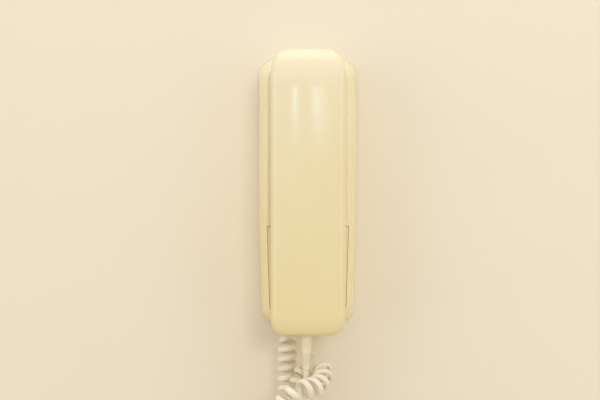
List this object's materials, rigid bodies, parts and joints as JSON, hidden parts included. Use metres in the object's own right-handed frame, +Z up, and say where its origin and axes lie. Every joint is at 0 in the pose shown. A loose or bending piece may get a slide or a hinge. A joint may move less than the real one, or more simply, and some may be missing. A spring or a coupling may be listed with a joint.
{
  "type": "wall telephone",
  "caption": "Slim cream wall-hung bedroom telephone: a long handset with keys on its inner face covers a slightly wider base, and a curly cord hangs below.",
  "frame": {"origin": "midway between the two wall-screw holes, on the wall's surface", "axes": "+Y into the wall, +Z up, +X to the right of someone facing the telephone"},
  "size_m": [0.0684, 0.0648, 0.3436],
  "materials": {
    "handset_plastic": "polished, a little yellowed",
    "base_plastic": "polished, a little yellowed",
    "cover_plastic": "polished, a little yellowed",
    "plate_plastic": "fine grain",
    "bracket_steel": "zinc plated",
    "screw_steel": "zinc plated",
    "board_green": "glass laminate with solder mask",
    "board_brown": "paper laminate",
    "transformer": "varnished core with a taped winding",
    "capacitor_can": "printed sleeve",
    "chip_black": "moulded epoxy",
    "terminal_plastic": "moulded",
    "hook_plastic": "smooth",
    "spring_steel": "drawn wire",
    "switch_plastic": "moulded",
    "speaker_case": "moulded",
    "knob_plastic": "moulded",
    "jack_plastic": "moulded",
    "bumper_rubber": "matt",
    "lead_red": "extruded",
    "lead_green": "extruded",
    "lead_yellow": "extruded",
    "lead_black": "extruded",
    "lead_white": "extruded",
    "capsule_metal": "drawn can",
    "seal_rubber": "matt",
    "mat_rubber": "silicone, matt",
    "ballast_steel": "zinc plated bar",
    "key_plastic": "moulded, numbers printed",
    "cord_vinyl": "extruded vinyl",
    "plug_plastic": "clear moulded"
  },
  "bodies": {
    "base": {"wall_bracket": "bracket_steel", "back_plate": "plate_plastic", "base_housing": "base_plastic", "lower_cover": "cover_plastic", "cover_screw": "screw_steel", "housing_screws": "screw_steel", "circuit_board": "board_green", "board_screws": "screw_steel", "line_transformer": "transformer", "capacitors": "capacitor_can", "ringer_chip": "chip_black", "terminal_block": "terminal_plastic", "terminal_screws": "screw_steel", "hook_spring": "spring_steel", "hook_switch": "switch_plastic", "ringer_speaker": "speaker_case", "ringer_switch": "switch_plastic", "cord_jack": "jack_plastic", "rubber_bumpers": "bumper_rubber", "jack_leads": "lead_yellow", "line_leads": "lead_red", "ringer_leads": "lead_black", "cord_plug": "plug_plastic", "curly_cord": "cord_vinyl"},
    "handset": {"handset_outer_shell": "handset_plastic", "handset_inner_shell": "handset_plastic", "handset_screws": "screw_steel", "receiver_gasket": "seal_rubber", "receiver_capsule": "capsule_metal", "microphone_boot": "seal_rubber", "microphone_capsule": "capsule_metal", "key_mat": "mat_rubber", "keypad_board": "board_brown", "dial_chip": "chip_black", "ballast_weight": "ballast_steel", "ballast_screws": "screw_steel", "keypad_screws": "screw_steel", "receiver_leads": "lead_green", "cord_leads": "lead_white", "strain_relief": "cord_vinyl"},
    "hook_plunger": {"hook_plunger": "hook_plastic"},
    "ringer_switch_knob": {"ringer_switch_knob": "knob_plastic"},
    "key_1": {"key_1": "key_plastic"},
    "key_2": {"key_2": "key_plastic"},
    "key_3": {"key_3": "key_plastic"},
    "key_4": {"key_4": "key_plastic"},
    "key_5": {"key_5": "key_plastic"},
    "key_6": {"key_6": "key_plastic"},
    "key_7": {"key_7": "key_plastic"},
    "key_8": {"key_8": "key_plastic"},
    "key_9": {"key_9": "key_plastic"},
    "key_star": {"key_star": "key_plastic"},
    "key_0": {"key_0": "key_plastic"},
    "key_hash": {"key_hash": "key_plastic"}
  },
  "joints": [
    {"name": "handset_lift", "type": "slide", "parent": "base", "child": "handset", "axis": [0, -0.8192, 0.5736], "range_m": [0, 0.06], "deforming": ["curly_cord"]},
    {"name": "hook_plunger_slide", "type": "slide", "parent": "base", "child": "hook_plunger", "axis": [0, -1, 0], "range_m": [0, 0.004], "deforming": ["hook_spring"]},
    {"name": "ringer_switch_slide", "type": "slide", "parent": "base", "child": "ringer_switch_knob", "axis": [1, 0, 0], "range_m": [0, 0.005]},
    {"name": "key_1_press", "type": "slide", "parent": "handset", "child": "key_1", "axis": [0, -1, 0], "range_m": [0, 0.0012], "stiffness_N_per_m": 600},
    {"name": "key_2_press", "type": "slide", "parent": "handset", "child": "key_2", "axis": [0, -1, 0], "range_m": [0, 0.0012], "stiffness_N_per_m": 600},
    {"name": "key_3_press", "type": "slide", "parent": "handset", "child": "key_3", "axis": [0, -1, 0], "range_m": [0, 0.0012], "stiffness_N_per_m": 600},
    {"name": "key_4_press", "type": "slide", "parent": "handset", "child": "key_4", "axis": [0, -1, 0], "range_m": [0, 0.0012], "stiffness_N_per_m": 600},
    {"name": "key_5_press", "type": "slide", "parent": "handset", "child": "key_5", "axis": [0, -1, 0], "range_m": [0, 0.0012], "stiffness_N_per_m": 600},
    {"name": "key_6_press", "type": "slide", "parent": "handset", "child": "key_6", "axis": [0, -1, 0], "range_m": [0, 0.0012], "stiffness_N_per_m": 600},
    {"name": "key_7_press", "type": "slide", "parent": "handset", "child": "key_7", "axis": [0, -1, 0], "range_m": [0, 0.0012], "stiffness_N_per_m": 600},
    {"name": "key_8_press", "type": "slide", "parent": "handset", "child": "key_8", "axis": [0, -1, 0], "range_m": [0, 0.0012], "stiffness_N_per_m": 600},
    {"name": "key_9_press", "type": "slide", "parent": "handset", "child": "key_9", "axis": [0, -1, 0], "range_m": [0, 0.0012], "stiffness_N_per_m": 600},
    {"name": "key_star_press", "type": "slide", "parent": "handset", "child": "key_star", "axis": [0, -1, 0], "range_m": [0, 0.0012], "stiffness_N_per_m": 600},
    {"name": "key_0_press", "type": "slide", "parent": "handset", "child": "key_0", "axis": [0, -1, 0], "range_m": [0, 0.0012], "stiffness_N_per_m": 600},
    {"name": "key_hash_press", "type": "slide", "parent": "handset", "child": "key_hash", "axis": [0, -1, 0], "range_m": [0, 0.0012], "stiffness_N_per_m": 600}
  ],
  "couplings": [
    {"joint": "hook_plunger_slide", "follows": "handset_lift", "ratio": 0.066666}
  ]
}
